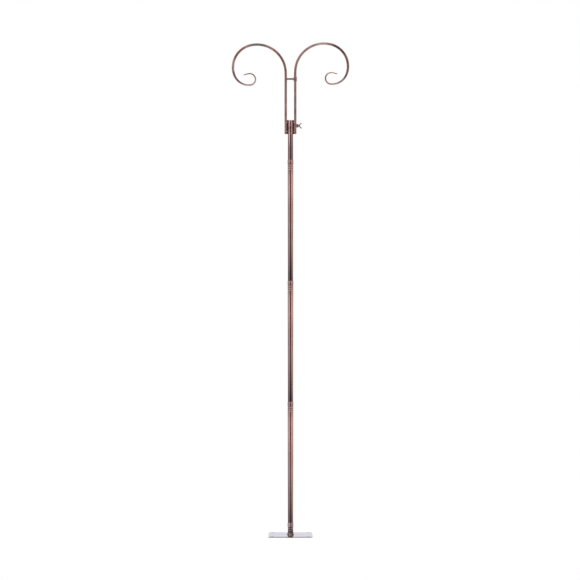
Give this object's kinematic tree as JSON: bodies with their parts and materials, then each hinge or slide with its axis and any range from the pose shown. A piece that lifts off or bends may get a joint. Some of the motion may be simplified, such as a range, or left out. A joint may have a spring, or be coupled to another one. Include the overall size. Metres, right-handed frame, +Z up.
{
  "type": "shepherds hook",
  "caption": "Free-standing double shepherds hook: square foot plate, plug-in pole sections, and a clamped head of mirrored scrolled hooks with a wing screw.",
  "frame": {"origin": "middle of the foot plate's underside, on the pole's axis", "axes": "+Z up along the pole, +X towards the wing screw, +Y to the back; the scrolls lie in the XZ plane"},
  "size_m": [0.4362, 0.16, 1.8308],
  "materials": {
    "plate_zinc": "zinc plated sheet steel, nearly polished",
    "pole_copper": "antique copper lacquer on steel tube, satin gloss",
    "rod_copper": "antique copper lacquer on steel rod, mottled",
    "sleeve_copper": "antique copper lacquer on steel tube, satin gloss",
    "collar_copper": "dark antique copper lacquer",
    "weld_copper": "lacquered weld bead",
    "nut_steel": "dark lacquered steel nut",
    "screw_steel": "threaded steel",
    "wing_cast": "cast metal, dull"
  },
  "bodies": {
    "base": {"base_plate": "plate_zinc", "base_socket": "pole_copper", "base_weld": "weld_copper"},
    "lower_pole": {"lower_pole": "pole_copper"},
    "middle_pole": {"middle_pole": "pole_copper"},
    "upper_pole": {"upper_pole": "pole_copper"},
    "top_pole": {"top_pole": "pole_copper"},
    "head": {"clamp_sleeve": "sleeve_copper", "left_hook": "rod_copper", "right_hook": "rod_copper", "upper_left_front_weld": "weld_copper", "upper_left_back_weld": "weld_copper", "lower_left_front_weld": "weld_copper", "lower_left_back_weld": "weld_copper", "upper_right_front_weld": "weld_copper", "upper_right_back_weld": "weld_copper", "lower_right_front_weld": "weld_copper", "lower_right_back_weld": "weld_copper", "crossbar": "rod_copper", "crossbar_collar": "collar_copper", "crossbar_weld": "weld_copper", "clamp_nut": "nut_steel", "nut_front_weld": "weld_copper", "nut_back_weld": "weld_copper"},
    "clamp_stud": {"clamp_stud": "screw_steel"},
    "wing_head": {"wing_head": "wing_cast"}
  },
  "joints": [
    {"name": "lower_pole_lift", "type": "slide", "parent": "base", "child": "lower_pole", "axis": [0, 0, 1], "range_m": [0, 0.045]},
    {"name": "middle_pole_lift", "type": "slide", "parent": "lower_pole", "child": "middle_pole", "axis": [0, 0, 1], "range_m": [0, 0.045]},
    {"name": "upper_pole_lift", "type": "slide", "parent": "middle_pole", "child": "upper_pole", "axis": [0, 0, 1], "range_m": [0, 0.045]},
    {"name": "top_pole_turn", "type": "hinge", "parent": "upper_pole", "child": "top_pole", "pos_m": [0, 0, 1.3943], "axis": [0, 0, 1], "continuous": true},
    {"name": "head_height", "type": "slide", "parent": "top_pole", "child": "head", "axis": [0, 0, 1], "range_m": [-0.093, 0.06]},
    {"name": "clamp_stud_travel", "type": "slide", "parent": "head", "child": "clamp_stud", "axis": [1, 0, 0], "range_m": [0, 0.0051]},
    {"name": "wing_turn", "type": "hinge", "parent": "clamp_stud", "child": "wing_head", "pos_m": [0.0285, 0, 1.521], "axis": [1, 0, 0], "range_deg": [0, 1440]}
  ],
  "couplings": [
    {"joint": "clamp_stud_travel", "follows": "wing_turn", "m_per_rad": 0.00020213}
  ]
}
